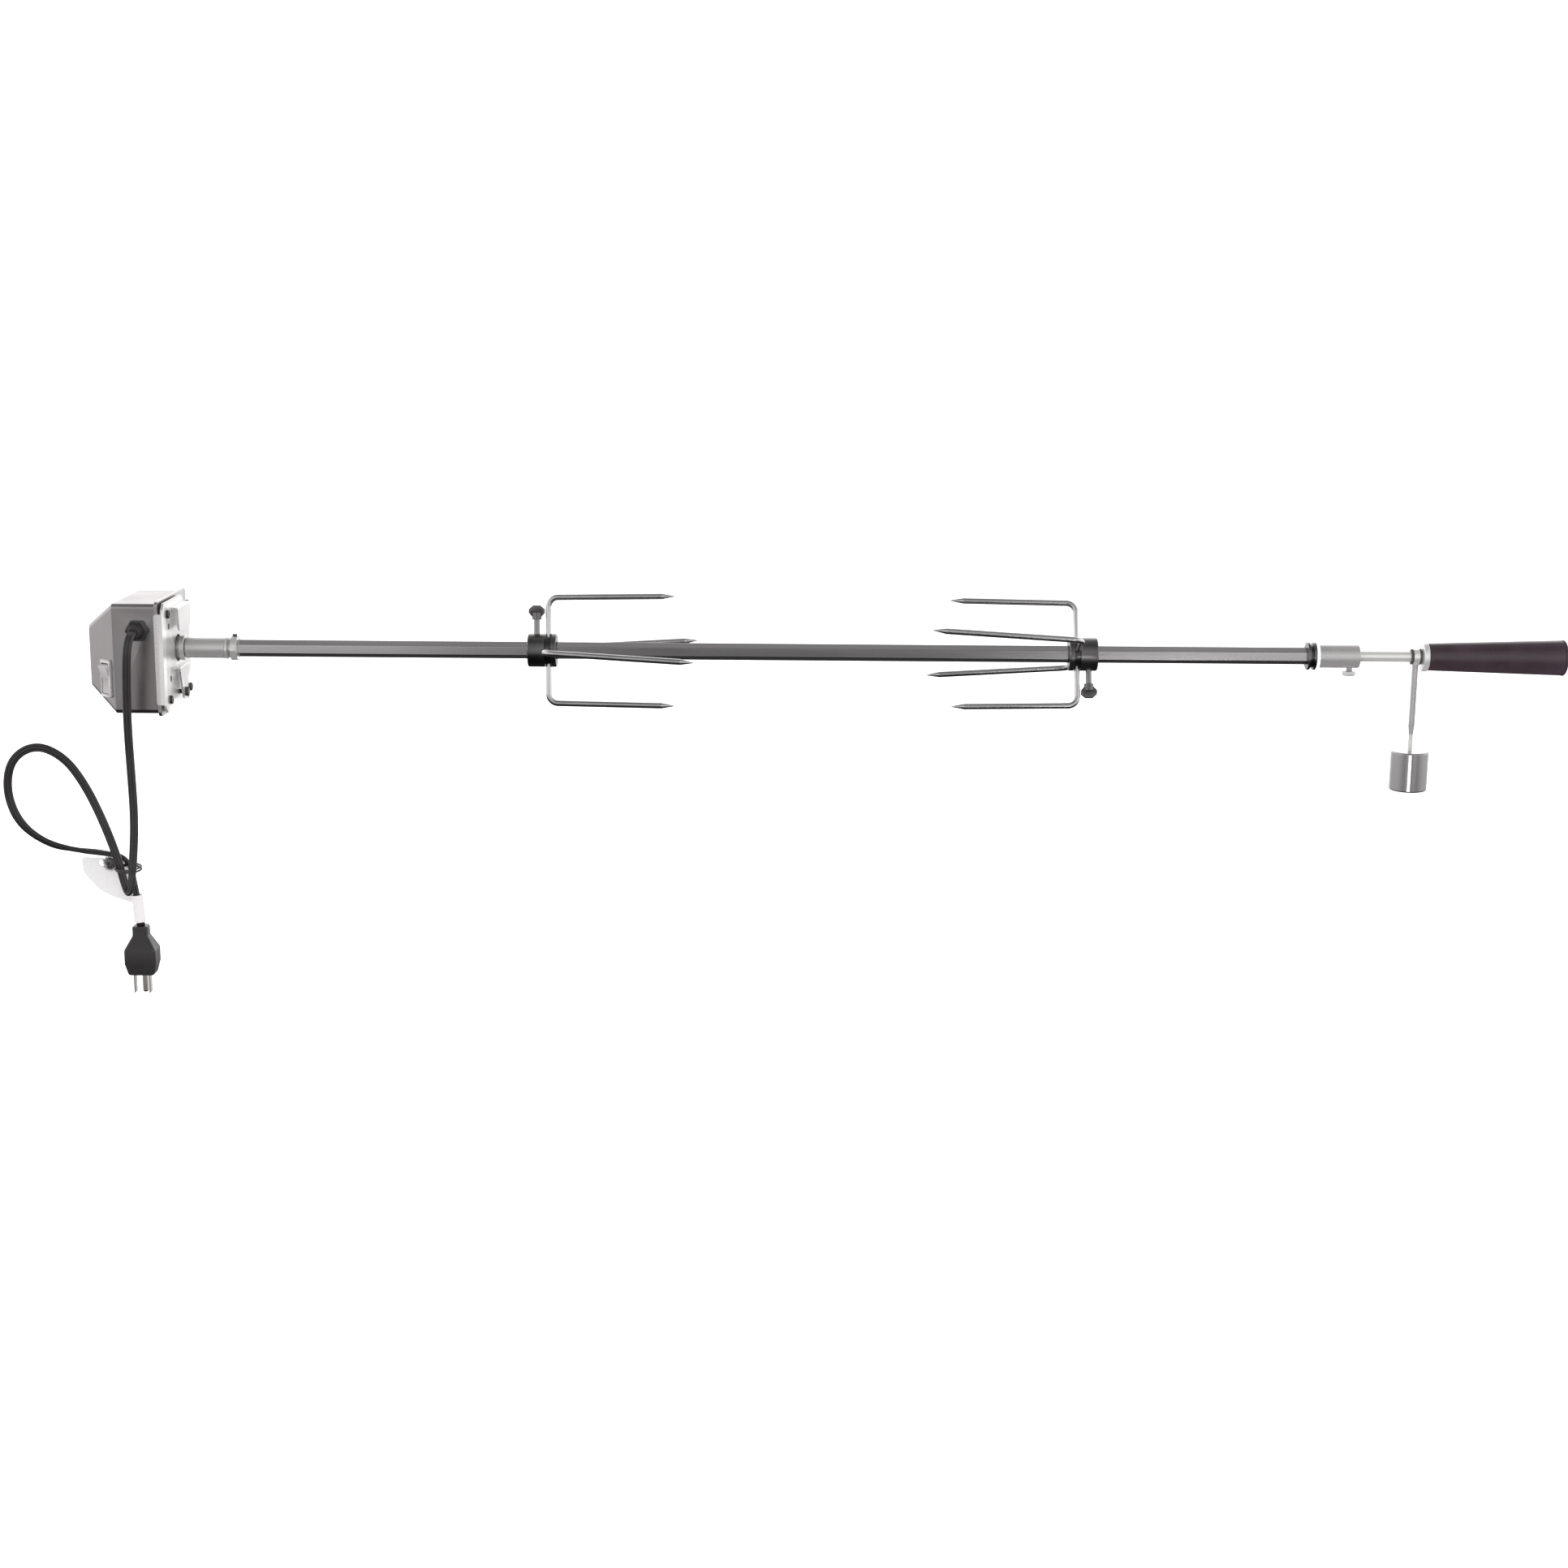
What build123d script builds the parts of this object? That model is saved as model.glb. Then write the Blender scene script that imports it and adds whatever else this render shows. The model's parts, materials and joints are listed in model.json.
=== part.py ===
from build123d import *
from math import acos, atan2, cos, degrees, pi, radians, sin, sqrt, tan
import os

# Grill rotisserie kit: geared motor on a mounting bracket, hex spit with two sliding forks, a handle
# and a swinging counterweight. Millimetres, +X along the spit from motor to handle, +Z up, origin on
# the spit axis at the outer face of the motor's mounting bracket.

# ---- fits -------------------------------------------------------------------------------------
running_gap = 0.05  # radial, shafts that turn in bushes and plates
sliding_gap = 0.17  # radial, fork bore over the rod's corners
part_gap = 0.3  # between pieces that only lie near each other

# ---- spit -------------------------------------------------------------------------------------
rod_flats = 12.7
rod_corner_radius = rod_flats / sqrt(3)
rod_span = 905.0  # bare rod between the two grooved bushings
socket_reach = 20.0  # how far the rod goes in past the bracket face
sleeve_length = 33.8
sleeve_radius = rod_corner_radius + 1.27
bushing_flange = 2.0
bushing_groove_radius = rod_corner_radius + 0.57
bushing_flange_radius = bushing_groove_radius + 1.3
bushing_groove = 2.8
bushing_ring_radius = bushing_groove_radius + 2.4
bushing_ring = 5.5
end_bushing_neck_radius = rod_corner_radius + 1.97
end_bushing_radius = end_bushing_neck_radius + 2.4
end_bushing_rim = 2.3
end_bushing_groove = 2.6
washer_thickness = 2.6
collar_radius = rod_corner_radius + 2.47
collar_length = 34.4
rod_in_collar = 18.0
shank_radius = 4.5
shank_visible = 44.0
shank_in_handle = 70.0
grub_radius = 2.0
grub_length = 4.6
set_screw_from_end = 7.3
set_screw_radius = 2.5
set_screw_reach = 16.5
set_screw_flats = 10.0
set_screw_head = 4.0

# ---- handle and counterweight -----------------------------------------------------------------
arm_nut_flats = 11.5
arm_nut_width = 1.8
arm_width = 5.4
arm_eye_radius = 6.8
arm_swage_drop = 58.0
arm_stud_drop = 67.0
arm_stud_radius = 1.8
weight_drop = 81.0
weight_radius = 15.8
weight_height = 34.0
weight_thread_depth = 12.0
ferrule_length = 4.8
ferrule_radius = 12.3
handle_length = 113.9
handle_near_radius = 11.6
handle_far_radius = 15.0
cap_thickness = 2.0
cap_lip_radius = 15.3

# ---- forks ------------------------------------------------------------------------------------
hub_radius = rod_corner_radius + 6.67
hub_length = 24.0
hub_wide_band = 14.4
hub_groove = 5.5
hub_groove_radius = hub_radius - 2.4
hub_socket_radius = rod_corner_radius + 2.27  # bottom of the blind holes that the tines are welded into
tine_radius = 2.5
tine_bend = 8.0
tine_offset = 44.8
short_tine_reach = 106.5
long_tine_reach = 124.5
tine_point = 11.0
tine_point_radius = 0.35
tine_flare = 0.9  # degrees away from the spit
long_tine_splay = -3.3  # degrees round the spit
left_fork_x = 296.9  # plain end of the hub
left_fork_spin = -5.9
right_fork_x = 778.5
right_fork_spin = 156.2

thumb_x = 7.2
thumb_radius = 2.5
thumb_top = 32.0
thumb_in_boss = 1.5
thumb_boss_radius = 4.0
thumb_boss_base = 26.0
wing_span = 13.6
wing_thickness = 3.6
wing_foot = 6.0
wing_base = 27.5
wing_shoulder = 31.5
wing_top = 38.0
wing_corner = 1.6

# ---- motor ------------------------------------------------------------------------------------
housing_side = 92.0
housing_drop = 3.0  # housing centre below the spit axis
housing_wall = 1.2
bevel_length = 25.0
bevel_inset = 20.0
corner_radius = 4.0
rim_width = 2.0
face_plate_thickness = 1.5
bracket_gap = 2.0
bracket_thickness = 2.0
bracket_far = 40.0  # the bracket's far edge from the spit axis
bracket_top_run = 18.0  # where its top edge ends and the far corner's slope starts
bracket_slope_low = 20.0
bracket_foot_run = 22.0
bracket_foot_slope = -22.0
bracket_hole_radius = 2.75
bracket_hole_y = 56.0
bracket_hole_z = 44.0
bracket_rim = 7.0
bracket_rim_margin = 8.0  # the rim stops this far short of the top and bottom
bracket_rim_radius = 2.5
bracket_corner = 5.0
bracket_corner_radius = 3.0
bracket_web_overlap = 1.0
bracket_bore_gap = 1.0  # round the turning socket
flap_width = 44.0
flap_taper = 6.0
flap_reach = 5.0
flap_top = 37.0
flap_bottom = 17.0
tongue_top = -14.5
tongue_bottom = -43.0
tongue_reach = 3.2
tongue_wide = 30.0
tongue_narrow = 10.0
tab_thickness = 1.5
tab_corner_radius = 4.0
clamp_radius = 2.0
clamp_z = -37.5
clamp_head_flats = 7.0
clamp_head = 3.0
clamp_point = 1.0  # how far the stem goes past the bracket's back
post_y = 33.0
post_top = 33.0
post_bottom = -39.0
post_radius = 4.0
screw_radius = 2.0
screw_head_radius = 3.6
screw_head = 2.2
screw_head_round = 1.0
screw_grip = 8.0  # thread in the post
cross_slot = (4.4, 0.9, 1.0)  # length, width, depth

# gear train, motor to spit: module and teeth of each mesh
pinion_teeth = 12
wheel_teeth = 50
output_teeth = 56
first_module = 0.5
second_module = 0.6
output_module = 0.75
pressure_angle = radians(25)
addendum = 0.9
dedendum = 1.15
backlash = 0.10
gear_cavity = 22.5  # between face plate and gear plate
housing_length = gear_cavity + 39.5  # the motor sits in what is left
gear_plate_thickness = 1.5
gear_plate_margin = 4.5
rotor_hole_gap = 2.2
wheel_clearance = 1.0
output_gear_width = 8.0
third_wheel_width = 4.0
second_wheel_width = 3.0
stage_gap = 0.5
arbor_radius = 1.5
third_angle = 70.0
rotor_angle = 212.4
socket_radius = rod_corner_radius + 1.67
socket_nose = 6.5
socket_nose_radius = socket_radius + 1.5
socket_nose_width = 4.1
socket_floor = 1.2
bush_radius = socket_radius + 3.0
bush_length = 6.4
bush_proud = 0.6
can_radius = 26.0
can_length = 24.0
can_wall = 1.0
coil_inner_radius = 14.0
rotor_radius = 11.5
rotor_shaft_radius = 1.5
magnet_margin = 3.5
terminal_depth = 12.0
terminal_width = 16.0
terminal_height = 14.0
terminal_z = 19.0
terminal_pitch = 7.0
terminal_hole_radius = 1.8
terminal_hole_depth = 6.0

# switch and cord entry
switch_from_corner = 10.3
switch_z = -20.0
switch_height = 32.0
switch_width = 14.0
switch_pocket_height = 26.0
switch_pocket_width = 9.6
switch_depth = 14.0
switch_bezel = 1.8
switch_corner = 2.0
switch_edge = 0.6
switch_body_inset = (3.0, 4.0)  # the body is narrower and shorter than its bezel
switch_mouth_gap = 0.4  # the housing's opening is wider than the body
rocker_end_gap = 0.9
rocker_horn = 3.6
rocker_dip = 1.4
rocker_skirt = -2.5
rocker_root = -8.0
rocker_root_half = 3.0
rocker_pivot = -1.5
rocker_pin_radius = 1.0
rocker_pin_reach = 0.5  # into each side of the pocket
rocker_tilt = 10.0
cord_entry_x = -21.6
cord_entry_z = 21.1
cord_bushing_hex = 16.4
cord_bushing_head = 5.0
cord_bushing_nose = 8.0
cord_bushing_nose_inset = 1.2
cord_bushing_neck = 5.8
cord_bushing_neck_gap = 0.2
cord_bushing_nut = 8.4
cord_bushing_nut_width = 2.5
cord_bushing_tail = 8.3

# ---- cord -------------------------------------------------------------------------------------
cord_diameter = 7.0
# across the housing, out from its front and up, from the bushing to the plug
cord_points = [
    (cord_entry_x, 13.0, cord_entry_z),
    (cord_entry_x, 22.5, cord_entry_z),
    (-23.3, 27.2, 11.0),
    (-24.7, 26.6, -3.5),
    (-26.2, 24.0, -24.5),
    (-27.6, 21.6, -56.5),
    (-26.7, 20.6, -98.0),
    (-25.9, 20.9, -136.0),
    (-28.2, 22.6, -169.0),
    (-31.0, 24.6, -197.0),
    (-38.0, 12.6, -197.5),
    (-43.8, 13.2, -169.0),
    (-55.0, 13.0, -136.0),
    (-68.0, 12.8, -106.5),
    (-84.0, 12.6, -83.5),
    (-107.0, 12.4, -72.8),
    (-128.6, 12.2, -85.0),
    (-134.6, 11.4, -112.5),
    (-126.0, 10.0, -141.0),
    (-104.0, 7.6, -159.0),
    (-79.5, 5.6, -164.8),
    (-58.0, 4.0, -167.2),
    (-36.5, 3.9, -171.4),
    (-31.7, 5.0, -201.5),
    (-28.9, 6.5, -229.5),
]
tie_z = -178.0
tie_height = 4.0
tie_thickness = 1.0
tie_corner = 7.5
tie_width_x = 24.0
tie_width_y = 29.0
tie_x = -35.0
tie_out = 14.0
wrap_radius = 4.7
wrap_gap = 0.15
wrap_top = -203.5
wrap_bottom = -226.5
plug_width = 26.6
plug_depth = 21.0
plug_neck = 13.0
plug_length = 42.0
plug_neck_length = 8.0
plug_shoulder = 20.0
plug_waist = 32.0
plug_face_inset = (5.0, 4.0)
plug_corner = 3.0
blade_length = 16.0
blade_width = 6.3
blade_thickness = 1.5
blade_spacing = 12.7
ground_radius = 2.4
ground_longer = 2.0
ground_tip = 1.8
blade_y = -2.0
ground_y = 5.5
tag_out = -2.4
tag_thickness = 0.6
chain_radius = 6.5
chain_wire = 0.9
chain_tilt = 35.0
tag_slot = 19.0
tag_slot_width = 5.0
chain_centre = (-54.5, -177.6)
tag_corner = 3.0

# ---- places worked out from the sizes above ---------------------------------------------------
bracket_back = -bracket_thickness
plate_front = bracket_back - bracket_gap
rim_x = plate_front - face_plate_thickness
outer_x = rim_x - housing_length
bevel_x = outer_x + bevel_length
gear_plate_front = rim_x - gear_cavity
gear_plate_back = gear_plate_front - gear_plate_thickness
sleeve_x = socket_nose + 2 * part_gap
bushing_x = sleeve_x + sleeve_length
rod_start = -socket_reach
rod_bare_x = bushing_x + bushing_flange + bushing_groove + bushing_ring
end_bushing_x = rod_bare_x + rod_span
washer_x = end_bushing_x + 2 * end_bushing_rim + end_bushing_groove
collar_x = washer_x + washer_thickness
rod_end = collar_x + rod_in_collar
collar_end = collar_x + collar_length
arm_x = collar_end + shank_visible + arm_nut_width
ferrule_x = arm_x + arm_width + arm_nut_width + part_gap
handle_x = ferrule_x + ferrule_length
handle_end = handle_x + handle_length
front_y = -housing_side / 2
cord_route = [(x, front_y - out, z) for x, out, z in cord_points]
cord_end = cord_route[-1]
tie_centre = (tie_x, front_y - tie_out)
tag_y = front_y - tag_out
set_screw_x = collar_end - set_screw_from_end
output_gear_x = rim_x - part_gap - (bush_length - face_plate_thickness) - output_gear_width
third_wheel_x = output_gear_x - stage_gap - third_wheel_width
second_wheel_x = gear_plate_front + stage_gap

third_centre_distance = output_module * (pinion_teeth + output_teeth) / 2
second_centre_distance = second_module * (pinion_teeth + wheel_teeth) / 2
first_centre_distance = first_module * (pinion_teeth + wheel_teeth) / 2


def polar(distance, angle):
    return Vector(distance * cos(radians(angle)), distance * sin(radians(angle)))


def swing(pivot, target, first, second, side):
    """Point at distance first from pivot and second from target, on the chosen side."""
    gap = target - pivot
    along = (first**2 - second**2 + gap.length**2) / (2 * gap.length)
    across = sqrt(first**2 - along**2)
    unit = gap.normalized()
    return pivot + unit * along + Vector(-unit.Y, unit.X) * across * side


spit_axis = Vector(0, 0)
third_axis = polar(third_centre_distance, third_angle)
second_reach = output_module * (output_teeth / 2 + addendum) + arbor_radius + wheel_clearance
second_axis = swing(spit_axis, third_axis, second_reach, second_centre_distance, -1)
rotor_axis = second_axis + polar(first_centre_distance, rotor_angle)


# ---- shapes used again and again --------------------------------------------------------------
def at(x, y=0.0, z=0.0):
    """Plane across the spit direction, its own x and y along +Y and +Z."""
    return Plane(origin=(x, y, z), x_dir=(0, 1, 0), z_dir=(1, 0, 0))


def disc(x, length, radius, centre=spit_axis):
    return extrude(at(x, centre.X, centre.Y) * Circle(radius), length)


def hexagon(x, length, flats, centre=spit_axis):
    outline = RegularPolygon(flats / 2, 6, major_radius=False, rotation=30)
    return extrude(at(x, centre.X, centre.Y) * outline, length)


def block(low, high):
    size = [b - a for a, b in zip(low, high)]
    middle = [(a + b) / 2 for a, b in zip(low, high)]
    return Pos(*middle) * Box(*size)


def turned(profile):
    """Solid of revolution about the spit axis from (x, radius) corners."""
    face = Plane.XZ * make_face(Polyline(*profile, close=True))
    return revolve(face, Axis.X, 360)


def gear(x, width, teeth, module, centre, phase):
    """Involute spur gear with a tooth at the given angle."""
    pitch = module * teeth / 2
    base = pitch * cos(pressure_angle)
    tip = pitch + addendum * module
    root = pitch - dedendum * module
    start = max(base, root)
    half = pi / (2 * teeth) - backlash / (2 * pitch)
    spread = tan(pressure_angle) - pressure_angle

    def flank(radius):
        turn = acos(min(1.0, base / radius))
        return half + spread - (tan(turn) - turn)

    radii = [start + (tip - start) * step / 4 for step in range(5)]
    side = [(r, flank(r)) for r in radii]
    if root < start:
        side = [(root, flank(start))] + side
    tooth = [(r, -a) for r, a in side] + [(r, a) for r, a in reversed(side)]
    points = []
    for number in range(teeth):
        middle = radians(phase) + 2 * pi * number / teeth
        points += [(r * cos(middle + a), r * sin(middle + a)) for r, a in tooth]
    outline = at(x, centre.X, centre.Y) * make_face(Polyline(*points, close=True))
    return extrude(outline, width)


def direction(start, end):
    return degrees(atan2(end.Y - start.Y, end.X - start.X))


# ---- motor unit -------------------------------------------------------------------------------
def shell_body(inset, front, back, bevel_back):
    """Housing volume inset by a wall: straight part and bevelled outer end."""
    side = housing_side - 2 * inset
    small = side - 2 * bevel_inset
    round_corner = corner_radius - inset
    sections = [at(bevel_back, 0, -housing_drop) * RectangleRounded(side, side, round_corner)]
    sections += [at(back, 0, -housing_drop) * RectangleRounded(small, small, round_corner)]
    straight = extrude(sections[0], front - bevel_back)
    return straight + loft(Sketch() + sections)


def motor_housing():
    outer = shell_body(0, rim_x, outer_x, bevel_x)
    inner = shell_body(housing_wall, rim_x, outer_x + housing_wall, bevel_x)
    side = housing_side + 2 * rim_width
    rim = at(rim_x - housing_wall, 0, -housing_drop) * RectangleRounded(side, side, corner_radius)
    shell = outer + extrude(rim, housing_wall) - inner
    hole_radius = cord_bushing_neck + cord_bushing_neck_gap
    hole = Pos(cord_entry_x, front_y, cord_entry_z) * Rot(90, 0, 0)
    hole *= Cylinder(hole_radius, 4 * housing_wall)
    width = switch_width - switch_body_inset[0] + switch_mouth_gap
    height = switch_height - switch_body_inset[1] + switch_mouth_gap
    mouth = switch_plane() * Box(width, height, switch_depth)
    return shell - hole - mouth


def plate_holes(x, thickness, radius):
    cut = None
    for y in (-bracket_hole_y / 2, bracket_hole_y / 2):
        for z in (-bracket_hole_z / 2, bracket_hole_z / 2):
            hole = disc(x, thickness, radius, Vector(y, z))
            cut = hole if cut is None else cut + hole
    return cut


def post_centres():
    return [Vector(y, z) for y in (-post_y, post_y) for z in (post_bottom, post_top)]


def face_plate():
    side = housing_side + 2 * rim_width
    plate = extrude(at(rim_x, 0, -housing_drop) * RectangleRounded(side, side, corner_radius),
                    face_plate_thickness)
    plate -= disc(rim_x, face_plate_thickness, bush_radius)
    plate -= plate_holes(rim_x, face_plate_thickness, bracket_hole_radius)
    for centre in post_centres():
        plate -= disc(rim_x, face_plate_thickness, screw_radius, centre)
    return plate


def bracket_outline():
    near = front_y
    high = housing_side / 2 - housing_drop
    low = high - housing_side
    clip = bracket_corner
    corners = [(near, high - clip), (near + clip, high), (bracket_top_run, high)]
    corners += [(bracket_far, bracket_slope_low), (bracket_far, bracket_foot_slope)]
    corners += [(bracket_foot_run, low), (near + clip, low), (near, low + clip)]
    return at(bracket_back) * make_face(Polyline(*corners, close=True))


def bent_tab(top, bottom, reach, wide, narrow):
    """Tab lanced out of the bracket: a step out from its root, then a flat tongue down."""
    tip_half = narrow / 2
    root_half = wide / 2
    outline = [(-root_half, top), (root_half, top), (tip_half, bottom), (-tip_half, bottom)]
    tongue = extrude(at(reach) * make_face(Polyline(*outline, close=True)), tab_thickness)
    tongue = fillet(tongue.edges().filter_by(Axis.X).sort_by(Axis.Z)[:2], tab_corner_radius)
    step = block((0, -root_half, top - tab_thickness), (reach + tab_thickness, root_half, top))
    return tongue + step


def mounting_bracket():
    plate = extrude(bracket_outline(), bracket_thickness)
    plate = fillet(plate.edges().filter_by(Axis.X), bracket_corner_radius)
    low = -housing_drop - housing_side / 2 + bracket_rim_margin
    high = -housing_drop + housing_side / 2 - bracket_rim_margin
    rim_side = front_y - rim_width - part_gap
    rim = block((-bracket_rim, rim_side - tab_thickness, low), (0, rim_side, high))
    rim = fillet(rim.edges().filter_by(Axis.Y).group_by(Axis.X)[0], bracket_rim_radius)
    web = block((bracket_back, rim_side, low), (0, front_y + bracket_web_overlap, high))
    flap = bent_tab(flap_top, flap_bottom, flap_reach, flap_width, flap_width - flap_taper)
    tongue = bent_tab(tongue_top, tongue_bottom, tongue_reach, tongue_wide, tongue_narrow)
    bracket = plate + rim + web + flap + tongue
    bracket -= disc(bracket_back, bracket_thickness, socket_nose_radius + bracket_bore_gap)
    bracket -= plate_holes(bracket_back, bracket_thickness, bracket_hole_radius)
    for centre in post_centres():
        bracket -= disc(bracket_back, bracket_thickness, screw_radius, centre)
    tongue_front = tongue_reach + tab_thickness
    return bracket - disc(bracket_back, tongue_front - bracket_back, clamp_radius, Vector(0, clamp_z))


def bracket_spacers():
    spacers = []
    for centre in post_centres():
        spacer = disc(plate_front, bracket_gap, screw_head_radius, centre)
        spacers.append(spacer - disc(plate_front, bracket_gap, screw_radius, centre))
    return Compound(children=spacers)


def plate_posts():
    posts = []
    for centre in post_centres():
        post = disc(gear_plate_front, gear_cavity, post_radius, centre)
        post -= disc(rim_x - screw_grip, screw_grip, screw_radius, centre)
        posts.append(post)
    return Compound(children=posts)


def bracket_screws():
    screws = []
    for centre in post_centres():
        head = disc(0, screw_head, screw_head_radius, centre)
        head = fillet(head.edges().group_by(Axis.X)[-1], screw_head_round)
        slot_floor = at(screw_head - cross_slot[2], centre.X, centre.Y)
        head -= extrude(slot_floor * Rectangle(cross_slot[0], cross_slot[1]), cross_slot[2])
        head -= extrude(slot_floor * Rectangle(cross_slot[1], cross_slot[0]), cross_slot[2])
        screws.append(head + disc(rim_x - screw_grip, screw_grip - rim_x, screw_radius, centre))
    return Compound(children=screws)


def gear_plate():
    margin = gear_plate_margin
    low = (gear_plate_back, -post_y - margin, post_bottom - margin)
    plate = block(low, (gear_plate_front, post_y + margin, post_top + margin))
    plate -= disc(gear_plate_back, gear_plate_thickness, rotor_shaft_radius + rotor_hole_gap, rotor_axis)
    for axis in (second_axis, third_axis):
        plate -= disc(gear_plate_back, gear_plate_thickness, arbor_radius + running_gap, axis)
    return plate


def output_bush():
    bore = socket_radius + running_gap
    back = plate_front - bush_length
    front = plate_front + bush_proud
    return turned([(back, bore), (front, bore), (front, bush_radius), (back, bush_radius)])


def drive_socket():
    back = rod_start - part_gap - socket_floor
    profile = [(back, 0), (socket_nose, 0), (socket_nose, socket_nose_radius)]
    profile += [(socket_nose - socket_nose_width, socket_nose_radius)]
    profile += [(socket_nose - socket_nose_width, socket_radius), (back, socket_radius)]
    bore = rod_start - part_gap
    return turned(profile) - hexagon(bore, socket_nose - bore, rod_flats + 2 * running_gap)


def output_gear():
    phase = direction(spit_axis, third_axis)
    wheel = gear(output_gear_x, output_gear_width, output_teeth, output_module, spit_axis, phase)
    return wheel - disc(output_gear_x, output_gear_width, socket_radius)


def compound_gear(axis, pinion_x, pinion_width, pinion_module, pinion_to, wheel_x, wheel_width,
                  wheel_module, wheel_from):
    """Pinion and wheel moulded as one, turning on a fixed arbor."""
    pinion_phase = direction(axis, pinion_to) + 180 / pinion_teeth
    wheel_phase = direction(axis, wheel_from)
    body = gear(pinion_x, pinion_width, pinion_teeth, pinion_module, axis, pinion_phase)
    body += gear(wheel_x, wheel_width, wheel_teeth, wheel_module, axis, wheel_phase)
    start = min(pinion_x, wheel_x)
    return body - disc(start, gear_cavity, arbor_radius + running_gap, axis)


def third_gear():
    return compound_gear(third_axis, third_wheel_x + third_wheel_width,
                         output_gear_width + stage_gap, output_module, spit_axis,
                         third_wheel_x, third_wheel_width, second_module, second_axis)


def second_gear():
    start = second_wheel_x + second_wheel_width
    return compound_gear(second_axis, start, output_gear_x - stage_gap - start, second_module,
                         third_axis, second_wheel_x, second_wheel_width, first_module, rotor_axis)


def gear_arbors():
    length = gear_cavity + gear_plate_thickness
    pins = [disc(gear_plate_back, length, arbor_radius, axis) for axis in (second_axis, third_axis)]
    return Compound(children=pins)


def rotor_shaft():
    start = gear_plate_back - can_length + can_wall + running_gap
    phase = direction(rotor_axis, second_axis) + 180 / pinion_teeth
    pinion = gear(second_wheel_x, second_wheel_width, pinion_teeth, first_module, rotor_axis, phase)
    return pinion + disc(start, second_wheel_x - start, rotor_shaft_radius, rotor_axis)


def rotor_magnet():
    start = gear_plate_back - can_length + magnet_margin
    magnet = disc(start, can_length - 2 * magnet_margin, rotor_radius, rotor_axis)
    return magnet - disc(start, can_length, rotor_shaft_radius, rotor_axis)


def motor_can():
    start = gear_plate_back - can_length
    can = disc(start, can_length, can_radius, rotor_axis)
    can -= disc(start + can_wall, can_length, can_radius - can_wall, rotor_axis)
    return can


def motor_coil():
    start = gear_plate_back - can_length + can_wall
    coil = disc(start, can_length - can_wall, can_radius - can_wall, rotor_axis)
    return coil - disc(start, can_length, coil_inner_radius, rotor_axis)


def terminal_block():
    back = gear_plate_back - terminal_depth
    near_y = -post_y - gear_plate_margin
    terminals = block((back, near_y, terminal_z),
                      (gear_plate_back, near_y + terminal_width, terminal_z + terminal_height))
    middle = Vector(near_y + terminal_width / 2, terminal_z + terminal_height / 2)
    for y in (-terminal_pitch / 2, terminal_pitch / 2):
        for z in (-terminal_pitch / 2, terminal_pitch / 2):
            centre = middle + Vector(y, z)
            terminals -= disc(back, terminal_hole_depth, terminal_hole_radius, centre)
    return terminals


def switch_plane():
    """Frame on the front bevel, its x along the bevel, its y up, its z straight out."""
    length = sqrt(bevel_length**2 + bevel_inset**2)
    along = Vector(bevel_length / length, -bevel_inset / length, 0)
    outward = Vector(-bevel_inset / length, -bevel_length / length, 0)
    corner = Vector(bevel_x, front_y, switch_z)
    return Plane(origin=corner - along * switch_from_corner, x_dir=along, z_dir=outward)


def rocker_pin(radius, length):
    return Pos(0, 0, rocker_pivot) * Rot(0, 90, 0) * Cylinder(radius, length)


def switch_frame():
    outer = Pos(0, 0, switch_bezel / 2) * Box(switch_width, switch_height, switch_bezel)
    outer = fillet(outer.edges().filter_by(Axis.Z), switch_corner)
    outer = chamfer(outer.edges().group_by(Axis.Z)[-1], switch_edge)
    width = switch_width - switch_body_inset[0]
    height = switch_height - switch_body_inset[1]
    inner = Pos(0, 0, -switch_depth / 2) * Box(width, height, switch_depth)
    pocket = Box(switch_pocket_width, switch_pocket_height, 2 * switch_depth - 2 * switch_edge)
    bore = rocker_pin(rocker_pin_radius + running_gap, switch_width)
    return switch_plane() * (outer + inner - pocket - bore)


def switch_rocker():
    half = switch_pocket_height / 2 - rocker_end_gap
    profile = [(-half, rocker_horn), (0, rocker_dip), (half, rocker_horn), (half, rocker_skirt)]
    profile += [(rocker_root_half, rocker_root), (-rocker_root_half, rocker_root), (-half, rocker_skirt)]
    face = Plane.YZ * make_face(Polyline(*profile, close=True))
    width = switch_pocket_width - 2 * part_gap
    body = extrude(face, width / 2, both=True)
    tilted = Pos(0, 0, rocker_pivot) * Rot(rocker_tilt, 0, 0) * Pos(0, 0, -rocker_pivot) * body
    pin = rocker_pin(rocker_pin_radius, switch_pocket_width + 2 * rocker_pin_reach)
    return switch_plane() * (tilted + pin)


def cord_bushing():
    place = Plane(origin=(cord_entry_x, front_y, cord_entry_z), x_dir=(1, 0, 0), z_dir=(0, -1, 0))
    outline = RegularPolygon(cord_bushing_hex / 2, 6, major_radius=False)
    head = extrude(outline, cord_bushing_head)
    head = chamfer(head.edges().group_by(Axis.Z)[-1], 0.8)
    wide = cord_bushing_hex / 2 - cord_bushing_nose_inset
    nose = Pos(0, 0, cord_bushing_head + cord_bushing_nose / 2)
    nose *= Cone(wide, cord_diameter / 2 + 1.0, cord_bushing_nose)
    neck = Pos(0, 0, -cord_bushing_tail / 2) * Cylinder(cord_bushing_neck, cord_bushing_tail)
    nut = RegularPolygon(cord_bushing_nut, 6, major_radius=False)
    nut = Pos(0, 0, -housing_wall - cord_bushing_nut_width) * extrude(nut, cord_bushing_nut_width)
    return place * (head + nose + neck + nut)


# ---- spit -------------------------------------------------------------------------------------
def spit_rod():
    rod = hexagon(rod_start, rod_end - rod_start, rod_flats)
    return chamfer(rod.edges().group_by(Axis.X)[0] + rod.edges().group_by(Axis.X)[-1], 0.8)


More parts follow.
